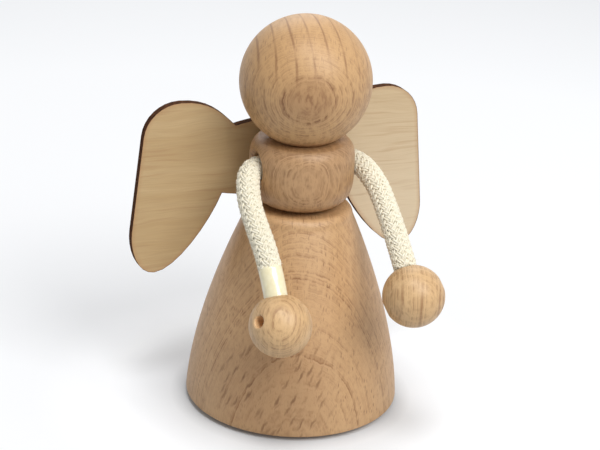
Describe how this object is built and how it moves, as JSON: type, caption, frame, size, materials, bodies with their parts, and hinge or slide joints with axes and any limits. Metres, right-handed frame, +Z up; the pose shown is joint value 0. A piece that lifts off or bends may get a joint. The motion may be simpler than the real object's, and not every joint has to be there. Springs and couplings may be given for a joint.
{
  "type": "wooden angel figurine",
  "caption": "Free-standing angel ornament with a turned bell skirt, barrel bust, plain ball head, flat cut-out wings and bendable cord arms ending in bead hands.",
  "frame": {"origin": "middle of the flat foot of the skirt, on the surface that it stands on", "axes": "+Z up along the turned body, -Y the way the figure faces, +X towards the figure's left hand"},
  "size_m": [0.0796, 0.0675, 0.0999],
  "materials": {
    "skirt_beech": "sanded, open-pored, unvarnished",
    "bust_beech": "sanded, open-pored, unvarnished",
    "head_beech": "sanded, open-pored, unvarnished",
    "bead_wood": "tumbled smooth, light wax",
    "dowel_wood": "plain dowel",
    "wing_plywood": "raw plywood face with dark burnt edges",
    "cotton_cord": "braided natural cotton",
    "end_tape": "clear yellowish tape over cotton"
  },
  "bodies": {
    "figure": {"skirt": "skirt_beech", "bust": "bust_beech", "head": "head_beech", "neck_dowel": "dowel_wood", "waist_dowel": "dowel_wood", "wings": "wing_plywood"},
    "right_shoulder": {"right_shoulder_cord": "cotton_cord"},
    "right_arm": {"right_arm_cord": "cotton_cord", "right_cord_sleeve": "end_tape", "right_hand_bead": "bead_wood"},
    "left_shoulder": {"left_shoulder_cord": "cotton_cord"},
    "left_arm": {"left_arm_cord": "cotton_cord", "left_cord_sleeve": "end_tape", "left_hand_bead": "bead_wood"}
  },
  "joints": [
    {"name": "right_arm_swing", "type": "hinge", "parent": "figure", "child": "right_shoulder", "pos_m": [-0.0126, 0, 0.0627], "axis": [-1, 0, 0], "range_deg": [-5, 90]},
    {"name": "right_arm_spread", "type": "hinge", "parent": "right_shoulder", "child": "right_arm", "pos_m": [-0.0126, 0, 0.0627], "axis": [0, 0.722, -0.6919], "range_deg": [0, 50], "deforming": ["right_arm_cord"]},
    {"name": "left_arm_swing", "type": "hinge", "parent": "figure", "child": "left_shoulder", "pos_m": [0.0126, 0, 0.0627], "axis": [-1, 0, 0], "range_deg": [-14.5, 80.5]},
    {"name": "left_arm_spread", "type": "hinge", "parent": "left_shoulder", "child": "left_arm", "pos_m": [0.0126, 0, 0.0627], "axis": [0, -0.5979, 0.8016], "range_deg": [0, 50], "deforming": ["left_arm_cord"]}
  ]
}
